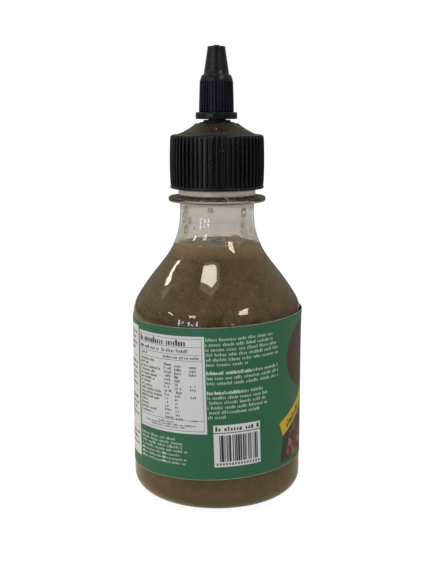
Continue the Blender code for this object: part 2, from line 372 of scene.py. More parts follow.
def scatterTree():
    # small flattened drops or crumbs strewn over a surface, thinning out above a height
    mostlySmall, leastTall, mostTall, tallSeed = 2.5, 0.8, 1.7, 7
    tree, nodes, given = newTree("scatter", {
        "Geometry": ["Geometry"], "Int": ["Seed"], "Material": ["Material"],
        "Float": ["Density", "Thin above", "Thinning", "Smallest", "Largest", "Flatness"],
    })
    height = nodes.parts(nodes.add("GeometryNodeInputPosition"))[2]
    fade = ((given["Thin above"] - height) / given["Thinning"]).math("MINIMUM", 0.0).math("EXPONENT")
    points, leaning = nodes.add(
        "GeometryNodeDistributePointsOnFaces", None,
        {"Mesh": given["Geometry"], "Density": given["Density"] * fade, "Seed": given["Seed"]},
        out=("Points", "Rotation"))
    draw = nodes.chance(0.0, 1.0, given["Seed"])
    size = given["Smallest"] + (given["Largest"] - given["Smallest"]) * draw ** mostlySmall
    tall = nodes.chance(leastTall, mostTall, tallSeed)
    drops = nodes.add("GeometryNodeInstanceOnPoints", None, {
        "Points": points, "Rotation": leaning,
        "Instance": nodes.add("GeometryNodeMeshIcoSphere", None, {"Radius": 1.0, "Subdivisions": 2}),
        "Scale": nodes.vector(size, size * tall, size * given["Flatness"]),
    })
    real = nodes.add("GeometryNodeRealizeInstances", None, {"Geometry": drops})
    endTree(nodes, real, given["Material"])
    return tree


def markTree():
    # rows of small plain marks along guide lines, laid flat and then wrapped round the label
    sharp, rowShift = 0.001, 7919
    tallShare, lowTall, leastWide = 0.7, 0.68, 0.55
    tree, nodes, given = newTree("printRows", {
        "Geometry": ["Geometry"], "Int": ["Seed"], "Material": ["Material"],
        "Float": ["Step", "Mark width", "Mark height", "Word length", "Gap share"],
    })
    lines = nodes.add("GeometryNodeMeshToCurve", None, {"Mesh": given["Geometry"]})
    spots = nodes.add("GeometryNodeResampleCurve", {"mode": "LENGTH"},
                      {"Curve": lines, "Length": given["Step"]})
    flat = nodes.parts(nodes.add("GeometryNodeInputPosition"))
    along = flat[0] / given["Word length"] + flat[1] * rowShift + given["Seed"]
    edge = nodes.add("ShaderNodeTexVoronoi", {"voronoi_dimensions": "1D", "feature": "DISTANCE_TO_EDGE"},
                     {"W": along, "Scale": 1.0})
    inWord = edge.above(given["Step"] * 0.5 / given["Word length"], sharp)
    kept = inWord * nodes.chance(0.0, 1.0, given["Seed"]).above(given["Gap share"], sharp)
    evened = given["Word length"].above(0.5, sharp)
    wide = nodes.chance(leastWide, 1.0, given["Seed"] + 1).math("MAXIMUM", evened)
    tall = nodes.chance(0.0, 1.0, given["Seed"] + 2).above(tallShare, 0.02)
    tall = (lowTall + tall * (1 - lowTall)).math("MAXIMUM", evened)
    block = nodes.add("GeometryNodeMeshCube", None, {"Size": (1, 1, 1)})
    block = nodes.add("GeometryNodeTransform", None, {"Geometry": block, "Translation": (0, 0.5, 0)})
    tangent = nodes.add("GeometryNodeInputTangent")
    marks = nodes.add("GeometryNodeInstanceOnPoints", None, {
        "Points": spots, "Selection": kept.above(0.5, sharp), "Instance": block,
        "Rotation": nodes.add("FunctionNodeAlignRotationToVector", {"axis": "X"}, {"Vector": tangent}),
        "Scale": nodes.vector(given["Mark width"] * wide, given["Mark height"] * tall, label["ink"] * mm),
    })
    real = nodes.add("GeometryNodeRealizeInstances", None, {"Geometry": marks})
    angle = (flat[0] - flat[1] * label["lean"]) / (label["radius"] * mm)
    across = angle.math("SINE")
    forward = angle.math("COSINE")
    radius = flat[2] + label["radius"] * mm
    height = (flat[1] + label["foot"] * mm + across * (label["riseRight"] * mm)
              + (1 - forward) * (label["riseBack"] * mm))
    place = nodes.vector(radius * across, radius * forward * -1, height)
    wrapped = nodes.add("GeometryNodeSetPosition", None, {"Geometry": real, "Position": place})
    endTree(nodes, wrapped, given["Material"])
    return tree


ribRing = ribTree()
scatter = scatterTree()


def makeRibs(name, look, foot, head, shift, finish, slotName):
    # the ring of ribs round the cap or the tip's sleeve
    ribs = grow(name, ribRing, {
        "Ribs": look["ribs"], "Foot radius": look["ribFoot"] * mm, "Middle radius": look["ribMiddle"] * mm,
        "Head radius": look["ribHead"] * mm, "Foot height": foot * mm, "Head height": head * mm,
        "Rib width": look["ribWidth"] * mm, "Shift": shift * mm, "Material": finish,
    })
    settle(ribs, finish, slotName)


def strew(name, bed, material, look, thinAbove=1000.0):
    # drops or crumbs on a mesh, as many for each square metre as the density says
    smallest, largest = look["sizes"]
    return grow(name, scatter, {
        "Density": look["density"], "Thin above": thinAbove * mm, "Thinning": look["thinning"] * mm,
        "Smallest": smallest * mm, "Largest": largest * mm, "Flatness": look["flatness"],
        "Seed": look["seed"], "Material": material,
    }, bed)


# Clear bottle. Lengths are in mm, turns and slopes in degrees

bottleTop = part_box("bottle")[1]
shell = {
    "bodyRadius": bottleTop.x / mm, "mouthHeight": bottleTop.z / mm, "wall": 0.7, "steps": 144,
    "bendSteps": 16, "heelSteps": 14,
    "heelWidth": 9.5, "heelHeight": 7.3, "standingWidth": 4.5, "domeHeight": 2.6,
    "neckRadius": 12.65, "neckFoot": 98.0, "flareRadius": 26.0, "slope": 38.6,
    "bendRadius": 80.0, "lowSlope": 31.5, "cornerRadius": 13.8,
    "ringRadius": 16.5, "ringBottom": 102.0, "ringTop": 103.65, "ringEdge": 0.55, "fillet": 0.5,
    "bandRadius": 13.05, "bandTop": 106.2, "finishRadius": 12.45,
    "partingTurn": 11.5, "partingRise": 0.012, "partingWidth": 0.5,
    "tint": tone(246, 243, 238), "roughness": 0.03, "ior": 1.57, "ripple": 7, "rippleDepth": 0.12,
}


def shoulder(inset, steps):
    # from the neck's foot out to the body, this far inside the bottle's outer face
    slope, low = math.radians(shell["slope"]), math.radians(shell["lowSlope"])
    bends = (shell["flareRadius"] * (1 - math.cos(slope))
             + shell["bendRadius"] * (math.cos(low) - math.cos(slope))
             + shell["cornerRadius"] * (1 - math.cos(low)))
    straight = (shell["bodyRadius"] - shell["neckRadius"] - bends) / math.sin(slope)
    points = [(shell["neckRadius"] - inset, shell["neckFoot"])]
    points += bend(points[-1], shell["flareRadius"] + inset, 0, shell["slope"], steps)
    points.append((points[-1][0] + straight * math.sin(slope), points[-1][1] - straight * math.cos(slope)))
    points += bend(points[-1], shell["bendRadius"] - inset, shell["slope"], shell["lowSlope"], steps)
    points += bend(points[-1], shell["cornerRadius"] - inset, shell["lowSlope"], 0, steps)
    return points


def underside(inset):
    # from the body round the heel, over the standing band and up into the dome
    steps = shell["heelSteps"]
    centre = (shell["bodyRadius"] - shell["heelWidth"], shell["heelHeight"])
    points = arc(centre, shell["heelWidth"] - inset, 0, -90, steps, shell["heelHeight"] - inset)
    dome = arc((0, inset), centre[0] - shell["standingWidth"], 0, 90, steps // 2, shell["domeHeight"])
    return points + dome[:-1] + [(0, dome[-1][1])]


def body(inset):
    return shoulder(inset, shell["bendSteps"]) + underside(inset)


def below(points, level):
    # the part of a falling outline under a level, starting on it
    for upper, lower in zip(points, points[1:]):
        if upper[1] > level >= lower[1]:
            share = (upper[1] - level) / (upper[1] - lower[1])
            first = (upper[0] + (lower[0] - upper[0]) * share, level)
            return [first] + [point for point in points if point[1] < level - 1e-6]


def clearPlastic():
    material, nodes = newFinish("clearPlastic", {
        "Base Color": shell["tint"], "Roughness": shell["roughness"], "IOR": shell["ior"],
        "Transmission Weight": 1.0,
    })
    ripple = nodes.grain(nodes.place()[0], shell["ripple"], 1.0)
    nodes.paint({"Normal": nodes.bump(ripple, 0.25, shell["rippleDepth"])})
    return material


def makeBottle():
    edge, fillet = shell["ringEdge"], shell["fillet"]
    ring = shell["ringRadius"] - edge
    outside = [
        (shell["finishRadius"], shell["mouthHeight"]),
        (shell["finishRadius"], shell["bandTop"] + fillet),
        (shell["bandRadius"], shell["bandTop"]),
        *arc((shell["bandRadius"] + fillet, shell["ringTop"] + fillet), fillet, 180, 270, 5),
        *arc((ring, shell["ringTop"] - edge), edge, 90, 0, 6),
        *arc((ring, shell["ringBottom"] + edge), edge, 0, -90, 6),
        *arc((shell["neckRadius"] + fillet, shell["ringBottom"] - fillet), fillet, 90, 180, 5),
        *body(0),
    ]
    inside = [(shell["neckRadius"] - shell["wall"], shell["mouthHeight"]), *body(shell["wall"])]
    seams = (shell["partingTurn"], shell["partingTurn"] - 180)

    def partingLine(radius, turn, height):
        # the two faint upright lines where the halves of the mould met
        if radius > shell["neckRadius"] - 0.01 and shell["heelHeight"] < height < shell["ringBottom"]:
            for seam in seams:
                radius += shell["partingRise"] * math.exp(-((turn - seam) / shell["partingWidth"]) ** 2)
        return radius, turn, height

    near = [step * shell["partingWidth"] * 0.6 for step in range(-3, 4)]
    turns = evenTurns(shell["steps"], [seam + offset for seam in seams for offset in near])
    bottle = lathe("bottleShell", outside[::-1] + inside, turns, partingLine)
    settle(bottle, clearPlastic(), "bottle", "bottle")


makeBottle()


# Sauce, which reaches just into the wall so that no air gap shows

sauce = {
    "level": 87.4, "intoWall": 0.25, "ripple": 0.45, "meniscus": 0.5, "meniscusWidth": 0.9,
    "lumps": [(0.22, 1.0), (0.6, 0.5), (1.7, 0.25)],  # lumps for each mm, and how high
    "topRings": 30, "steps": 144,
    "light": tone(124, 100, 60), "middle": tone(108, 85, 50), "dark": tone(94, 72, 40),
    "flecks": [
        # width, how rare, colour
        (0.9, 0.76, tone(50, 38, 20)), (0.6, 0.90, tone(156, 134, 92)),
    ],
    "gloss": 0.12, "roughness": 0.42, "topRoughness": 0.7,
    # the low pair below is painted bounce light from the pale floor, lightening the lower sauce up to that
    # height
    "topWash": tone(198, 174, 132), "topWashDepth": 3.6, "paintedFloorBounce": tone(150, 128, 90), "paintedFloorBounceTop": 11,
    # the crease colour is painted shade for thin dark lines on the top
    "froth": tone(246, 222, 172), "creaseShade": tone(44, 30, 14),
    "foamFrom": 3, "foamWidth": 9, "foamShare": 0.22,
}


def sauceFinish(rim):
    material, nodes = newFinish("chilliSauce", {"Specular IOR Level": sauce["gloss"]})
    spot, (x, y, z) = nodes.place()
    mottle = nodes.grain(spot, 3.2, 4.0)
    shade = nodes.grain(spot, 16, 3.0) * 0.45 + mottle * 0.35 + nodes.grain(spot, 0.8, 2.0) * 0.3
    colour = nodes.ramp(shade, (0.46, sauce["dark"]), (0.55, sauce["middle"]), (0.64, sauce["light"]))
    for width, rarity, paint in sauce["flecks"]:
        cell = nodes.add("ShaderNodeTexVoronoi", None, {"Vector": spot, "Scale": 1 / (width * 2.4 * mm)},
                         out=("Distance", "Color"))
        chosen = nodes.parts(cell[1])[0].above(rarity, 0.02)
        fleck = (1 - cell[0].above(0.2, 0.12)) * chosen * 0.75
        colour = nodes.blend(fleck, colour, paint)
    topWash = z.above(sauce["level"] - 2.1, sauce["topWashDepth"])
    colour = nodes.blend(topWash * 0.5, colour, sauce["topWash"])
    # painted bounce light: the lower sauce is lightened towards the floor
    paintedFloorBounce = 1 - z.above(sauce["paintedFloorBounceTop"], 9)
    colour = nodes.blend(paintedFloorBounce * 0.5, colour, sauce["paintedFloorBounce"])

    # on the top lie froth, most of it at the back, and thin dark lines of painted shade, as in creases
    wet = z.above(sauce["level"] - 0.9, 0.6)
    onTop = wet * (1 - distance(x, y).above(rim - 0.5, 0.3))
    foam = y.above(sauce["foamFrom"], sauce["foamWidth"]) * sauce["foamShare"]
    froth = (nodes.grain(spot, 1.3, 3.0) + foam).above(0.6, 0.1) * onTop
    creaseShade = (1 - abs(nodes.grain(spot, 2.6, 3.0) - 0.5).above(0.045, 0.04)) * onTop
    colour = nodes.blend(froth * 0.8, colour, sauce["froth"])
    colour = nodes.blend(creaseShade * 0.85, colour, sauce["creaseShade"])
    nodes.paint({
        "Base Color": colour, "Normal": nodes.bump(mottle, 0.3, 0.2),
        "Roughness": sauce["roughness"] + wet * (sauce["topRoughness"] - sauce["roughness"]),
    })
    return material


def makeSauce():
    side = below(body(shell["wall"] - sauce["intoWall"]), sauce["level"])
    rim = side[0][0]
    top = [(rim * ring / sauce["topRings"], sauce["level"]) for ring in range(sauce["topRings"])]

    def uneven(radius, turn, height):
        # a lumpy top that creeps up a little where it wets the wall
        if height > sauce["level"] - 1e-6:
            point = onCircle(radius, turn, 0) / mm
            lumps = sum(share * noise.noise(point * pitch) for pitch, share in sauce["lumps"])
            height += sauce["ripple"] * lumps
            height += sauce["meniscus"] * math.exp(-(rim - radius) / sauce["meniscusWidth"])
        return radius, turn, height

    filling = lathe("sauceFilling", top + side, evenTurns(sauce["steps"]), uneven)
    settle(filling, sauceFinish(rim), "sauce", "sauce")


makeSauce()


# Sauce left on the inside of the neck: a thin film with smears, and drops along the sauce's edge; the film
# also carries a line of painted shade just under the ring

film = {
    "gap": 0.02, "thickness": 0.06, "foot": 87.0, "head": 105.8, "radius": 11.95,
    "bendSteps": 14, "steps": 120, "haze": 0.10, "smearCover": 0.72,
    "hazeColour": tone(220, 217, 213), "smearColour": tone(178, 132, 72), "foamColour": tone(255, 246, 220),
    # darkColour is the colour of the dark lines below, one of them painted shade
    "creamColour": tone(255, 246, 222), "creamFrom": 103.3, "darkColour": tone(52, 44, 36),
    "smears": [
        # turn, half width, lowest, highest, strength
        (-58, 13, 88, 101.5, 0.48), (46, 11, 88, 98.5, 0.42), (62, 4, 89, 99, 0.2), (-78, 5, 88, 102, 0.2),
        (28, 11, 87.5, 90.6, 0.9),
    ],
    "spots": [
        # turn, height, half width, half height, how hollow, strength
        (47, 98.8, 1.3, 1.5, 0.5, 0.75), (-10.5, 99.9, 1.0, 0.95, 0.3, 0.5),
        (-37.5, 93.7, 0.3, 0.4, 0.0, 0.6),
        (40, 92.5, 0.4, 0.6, 0.0, 0.4), (-66, 96.8, 1.1, 1.9, 0.5, 0.7), (-55, 92.8, 1.0, 1.6, 0.5, 0.7),
        (-58, 99.6, 1.0, 1.4, 0.5, 0.7), (60, 92.6, 0.35, 0.35, 0.0, 0.5), (27, 90.6, 1.9, 1.0, 0.3, 0.8),
        (-48, 96.2, 0.8, 1.2, 0.4, 0.6), (43, 94.6, 0.7, 1.0, 0.3, 0.5),
    ],
    "lines": [
        # lowest, highest, first and last turn, strength; the first is a dark line across the neck, the second
        # is painted shade just under the ring
        (95.45, 95.6, -42, 45, 0.3), (101.2, 101.35, -50, 47, 0.3),
    ],
    "sideFrom": 42, "sideTo": 120, "sideCover": -0.04, "sideColour": tone(196, 168, 124),
}
drops = {
    "paleColour": tone(214, 198, 166), "thinAbove": 0.4,
    "edge": {"density": 3.5e5, "sizes": (0.08, 0.5), "thinning": 0.5, "flatness": 0.4, "seed": 4},
    "wall": {"density": 6e4, "sizes": (0.04, 0.22), "thinning": 9, "flatness": 0.4, "seed": 11},
}


def filmFinish():
    material, nodes = newFinish("sauceFilmAndRingShade", {"Roughness": 0.3})
    spot, (x, y, z) = nodes.place()
    turn = turnOf(x, y) * (180 / math.pi)
    wander = (nodes.grain(spot, 2.5, 3.0) - 0.5) * 16
    edgeNoise = (nodes.grain(spot, 1.2, 3.0) - 0.5) * 3
    ragged = (nodes.grain(spot, 0.9, 2.0) - 0.5) * 0.9
    streaks = nodes.grain(spot, 0.7, 4.0, stretch=(1.0, 1.0, 0.25))
    smear = None
    for middle, halfWidth, low, high, strength in film["smears"]:
        away = abs(turn + wander - middle) / halfWidth
        patch = (1 - away).clamped() * (z + edgeNoise).between(low, high, 1.5) * strength
        smear = patch if smear is None else smear.math("MAXIMUM", patch)
    smear = smear * (streaks * 2.2 - 0.4)
    degree = math.radians(film["radius"])  # mm round the neck for each degree
    for middle, height, halfWidth, halfHeight, hollow, strength in film["spots"]:
        away = distance((turn - middle) * (degree / halfWidth), (z - height) / halfHeight) + ragged
        blot = away.between(hollow, 1.0, 0.35) if hollow else 1 - away.above(1.0, 0.35)
        smear = smear.math("MAXIMUM", blot * strength)

    # splashes over the sauce's edge, lower at the back
    atBack = y.above(4, 6)
    splash = 1 - (z + edgeNoise * 0.6).above(film["foot"] + 1.1 - atBack * 0.9, 0.9)
    smear = smear.math("MAXIMUM", splash * (ragged + 0.75)).clamped()
    side = abs(turn + wander * 0.5).between(film["sideFrom"], film["sideTo"], 16)
    cream = z.above(film["creamFrom"], 0.3)
    bands = nodes.grain(spot, 3.0, 4.0, stretch=(0.5, 0.5, 8.0))
    colour = nodes.blend(side, film["hazeColour"], film["sideColour"])
    colour = nodes.blend(smear, colour, nodes.blend(atBack, film["smearColour"], film["foamColour"]))
    colour = nodes.blend(cream, colour, film["creamColour"])
    cover = film["haze"] + side * film["sideCover"] + smear * film["smearCover"] + cream * (bands * 0.6 + 0.4)
    # dark lines over the film; the one just under the ring is painted shade from the ring
    for low, high, first, last, strength in film["lines"]:
        stripe = z.between(low, high, 0.1) * turn.between(first, last, 0.4) * strength
        colour = nodes.blend(stripe, colour, film["darkColour"])
        cover = cover.math("MAXIMUM", stripe)
    nodes.paint({"Base Color": colour, "Alpha": cover.clamped()})
    return material


def makeFilm():
    outer = shell["wall"] + film["gap"]
    skins = []
    for inset in (outer, outer + film["thickness"]):
        inside = [(shell["neckRadius"] - inset, film["head"])] + shoulder(inset, film["bendSteps"])
        skin = [point for point in inside if point[1] > film["foot"]]
        skins.append(skin + [below(inside, film["foot"])[0]])
    ring = lathe("neckFilm", skins[0] + skins[1][::-1], evenTurns(film["steps"]), closed=True)
    settle(ring, filmFinish(), "sauce")
    return skins[1]


def dropFinish():
    material, nodes = newFinish("sauceDrop", {"Roughness": 0.25})
    grain = nodes.grain(nodes.place()[0], 1.5, 2.0)
    colour = nodes.ramp(grain, (0.32, sauce["dark"]), (0.5, sauce["light"]), (0.64, drops["paleColour"]))
    nodes.paint({"Base Color": colour})
    return material


def makeDrops(skin):
    # strewn over the film's inner skin, on a bed that is then dropped
    bed = lathe("dropBed", skin, evenTurns(72))
    finish = dropFinish()
    thinAbove = sauce["level"] + drops["thinAbove"]
    grown = [strew(place + "Drops", bed.data.copy(), finish, drops[place], thinAbove)
             for place in ("edge", "wall")]
    bpy.data.objects.remove(bed)
    settle(joinPieces("neckDrops", grown), finish, "sauce")


makeDrops(makeFilm())


# Dried sauce on top of the neck's ring, and one fine fibre that hangs over it

residue = {
    "gap": 0.02, "thickness": 0.04, "foot": 102.75, "fade": 0.25, "steps": 120,
    "colour": tone(44, 34, 24), "pale": tone(160, 146, 122),
    "cream": tone(255, 247, 226), "creamFrom": 104.35, "bandTop": 105.9,
}
fibre = {
    "thickness": 0.075, "colour": tone(238, 228, 204),
    # radius, turn and height of each point that it passes
    "route": [(15.2, 8.4, 106.5), (14.6, 8.9, 105.2), (14.8, 9.8, 104.3), (15.6, 11.3, 104.0),
              (16.4, 12.6, 103.7), (16.75, 13.3, 102.9), (16.6, 12.9, 102.1)],
}


def residueFinish():
    material, nodes = newFinish("driedSauce", {"Roughness": 0.35})
    spot, (x, y, z) = nodes.place()
    flow = nodes.vector(turnOf(x, y) * 0.004, distance(x, y) * mm, z * mm)
    streaks = nodes.grain(flow, 0.35, 4.0)
    clots = nodes.grain(spot, 2.6, 4.0, stretch=(0.6, 0.6, 3.0)).above(0.42, 0.25)
    colour = nodes.blend(streaks.above(0.62, 0.16), residue["colour"], residue["pale"])
    onBand = z.above(residue["creamFrom"], 0.4)
    dried = 0.74 + streaks.above(0.45, 0.3) * 0.24
    dried = dried * z.above(residue["foot"] + residue["fade"], residue["fade"])
    nodes.paint({"Base Color": nodes.blend(onBand, colour, residue["cream"]),
                 "Alpha": dried + onBand * (0.75 + clots * 0.25 - dried)})
    return material


def makeResidue():
    edge, fillet = shell["ringEdge"], shell["fillet"]
    ring = shell["ringRadius"] - edge
    skins = []
    for gap in (residue["gap"], residue["gap"] + residue["thickness"]):
        skins.append([
            (shell["bandRadius"] + gap, residue["bandTop"]),
            *arc((shell["bandRadius"] + fillet, shell["ringTop"] + fillet), fillet - gap, 180, 270, 4),
            *arc((ring, shell["ringTop"] - edge), edge + gap, 90, 0, 6),
            (ring + edge + gap, residue["foot"])])
    layer = lathe("ringResidue", skins[1] + skins[0][::-1], evenTurns(residue["steps"]), closed=True)
    settle(layer, residueFinish(), "sauce")


def makeFibre():
    line = bpy.data.curves.new("neckFibre", "CURVE")
    line.dimensions = "3D"
    line.bevel_depth = fibre["thickness"] * mm
    line.bevel_resolution = 2
    line.use_fill_caps = True
    spline = line.splines.new("NURBS")
    spline.points.add(len(fibre["route"]) - 1)
    for point, spot in zip(spline.points, fibre["route"]):
        point.co = (*onCircle(*spot), 1.0)
    spline.use_endpoint_u = True
    spline.order_u = 3
    draft = newObject("neckFibreDraft", line)
    item = newObject("neckFibre", plainMesh(draft))
    bpy.data.objects.remove(draft)
    settle(item, grainFinish("paleFibre", 0.4, 0.8, residue["pale"], fibre["colour"]), "cap")


makeResidue()
makeFibre()


# Label, laid out flat: p runs round the bottle from the front, q up from the label's foot, in mm

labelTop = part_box("label")[1]
label = {
    "radius": labelTop.x / mm, "thickness": 0.12, "foot": 12.75, "height": 51.2, "rows": 14, "steps": 180,
    "edge": 0.03, "riseRight": 1.25, "riseBack": 0.45, "lean": 0.033, "ink": 0.05, "wave": 0.012,
    "liftTurn": 80, "liftWidth": 9, "lift": 0.3, "liftFrom": 38, "seamTurn": 172, "seamStep": 0.07,
    "gloss": 0.38, "green": tone(44, 112, 82), "greenDark": tone(36, 100, 70),
    "white": tone(221, 223, 225), "stripWhite": tone(234, 233, 231),
    "cutEdge": tone(190, 182, 160), "charcoal": tone(64, 57, 50), "yellow": tone(212, 176, 36),
    "field": tone(60, 52, 44), "red": tone(168, 72, 58), "pink": tone(190, 128, 112),
    "leaf": tone(86, 96, 52), "rule": tone(70, 72, 70),
    # left, right, bottom and top of each white field, and the heights of the rules on it
    "strip": (-46, -31.5, 4.2, 49.3), "stripRules": (38.6, 26.4, 13.9),
    "panel": (-30.6, -2.65, 15.7, 48.35), "inset": 0.8, "line": 0.16, "rules": (44.75, 42.2, 40.2, 20.1),
    "box": (-0.65, 15.3, 4.4, 18.65), "boxRule": 16.0,
    # the middle and radius of the roundel; the slope and level of the band's top and foot, and its ends
    "roundel": (39.7, 36.6, 11.5), "band": ((0.47, 4.21), (0.54, -3.12), 27.7, 56.4),
    "bandWay": (0.934, 0.358), "picture": (23.5, 55.0, 1.5), "chunks": 0.36,
}


def labelFinish():
    material, nodes = newFinish("printedLabel", {"Specular IOR Level": label["gloss"]})
    spot, (x, y, z) = nodes.place()
    angle = turnOf(x, y)
    rise = angle.math("SINE") * label["riseRight"] + (1 - angle.math("COSINE")) * label["riseBack"]
    q = z - rise - label["foot"]
    p = angle * label["radius"] + q * label["lean"]
    soft = 0.05

    def field(left, right, bottom, top):
        return p.between(left, right, soft) * q.between(bottom, top, soft)

    # the white fields, with the panel's thin frame and the rules
    line, inset = label["line"], label["inset"]
    left, right, bottom, top = label["panel"]
    left, right, bottom, top = left + inset, right - inset, bottom + inset, top - inset
    dark = field(left, right, bottom, top) * (1 - field(left + line, right - line, bottom + line, top - line))
    for height in label["rules"]:
        dark = dark + field(left, right, height - line / 2, height + line / 2)
    for height in label["stripRules"]:
        dark = dark + field(label["strip"][0] + 1, label["strip"][1] - 1, height, height + line)
    strip = field(*label["strip"])
    boxRule = field(*label["box"][:2], label["boxRule"] - 0.2, label["boxRule"] + 0.12)
    white = field(*label["panel"]) + strip + field(*label["box"]) - boxRule

    # the front's corner that shows: a plain roundel, a slanting band and a generic picture
    centreP, centreQ, radius = label["roundel"]
    roundel = 1 - distance(p - centreP, q - centreQ).above(radius, 0.08)
    (topSlope, topLevel), (lowSlope, lowLevel), bandStart, bandEnd = label["band"]
    along = p * label["bandWay"][0] + q * label["bandWay"][1]
    overFoot = (q - p * lowSlope).above(lowLevel, soft)
    band = (1 - (q - p * topSlope).above(topLevel, soft)) * overFoot * along.between(bandStart, bandEnd, soft)
    pictureLeft, pictureRight, pictureFoot = label["picture"]
    picture = (p - q * 0.22).between(pictureLeft, pictureRight, soft) * q.above(pictureFoot, soft)
    picture = picture * (1 - overFoot) * (1 - along.above(bandEnd, soft))
    sway = (nodes.grain(spot, 2.2, 3.0) - 0.5) * 3.4
    flat = nodes.vector(p + sway, q * 0.8 - sway * 0.7)
    chunk = nodes.add("ShaderNodeTexVoronoi", {"voronoi_dimensions": "2D"},
                      {"Vector": flat, "Scale": label["chunks"]}, out=("Distance", "Color"))
    mixed = nodes.ramp(nodes.parts(chunk[1])[0], (0.0, label["field"]), (0.3, label["red"]),
                       (0.62, label["pink"]), (0.9, label["leaf"]))
    shaded = nodes.blend(nodes.grain(spot, 1.0, 4.0).above(0.5, 0.5) * 0.6, mixed, label["field"])
    heap = (1 - chunk[0].above(0.42, 0.18)) * (p - q * 0.4).above(pictureLeft + 2.2, 1.0)
    filled = nodes.blend(heap, label["field"], shaded)

    # the film's pale cut edges, a little ragged
    ragged = (nodes.grain(spot, 1.6, 3.0) - 0.5) * 0.35
    cut = 1 - (q + ragged).between(0.14, label["height"] - 0.12, 0.12)

    colour = nodes.blend(nodes.grain(spot, 14, 2.0), label["greenDark"], label["green"])
    for share, paint in ((white, label["white"]), (strip, label["stripWhite"]), (dark * 0.85, label["rule"]),
                         (picture, filled), (band, label["yellow"]), (roundel, label["charcoal"]),
                         (cut * 0.8, label["cutEdge"])):
        colour = nodes.blend(share, colour, paint)
    nodes.paint({"Base Color": colour, "Roughness": 0.40 + nodes.grain(spot, 5, 2.0) * 0.12})
    return material


def makeLabel():
    edge, outer = label["edge"], label["radius"]
    inner = outer - label["thickness"]
    shares = [1 - row / label["rows"] for row in range(label["rows"] + 1)]
    heights = [label["foot"] + label["height"] * share for share in shares]
    outline = [(outer - edge, heights[0] + edge)] + [(outer, height) for height in heights]
    outline += [(outer - edge, heights[-1] - edge)] + [(inner, height) for height in heights[::-1]]

    def wrapped(radius, turn, height):
        # askew, with one lifted corner, slight waves and the overlap of its ends
        angle = math.radians(turn)
        above = height - label["foot"] - label["liftFrom"]
        reach = max(0.0, above / (label["height"] - label["liftFrom"]))
        beside = (turn - label["liftTurn"]) / label["liftWidth"]
        radius += label["lift"] * reach ** 2 * math.exp(-beside ** 2)
        radius += label["wave"] * noise.noise(Vector((turn * 0.09, height * 0.12, 0)))
        if turn > label["seamTurn"]:
            radius += label["seamStep"]
        height += label["riseRight"] * math.sin(angle) + label["riseBack"] * (1 - math.cos(angle))
        return radius, turn, height

    turns = evenTurns(label["steps"], [label["seamTurn"], label["seamTurn"] + 0.1])
    sleeve = lathe("labelSleeve", outline, turns, wrapped, closed=True)
    settle(sleeve, labelFinish(), "label", "label")


makeLabel()


# Print: rows of plain marks in the places of the words and figures, and plain bars

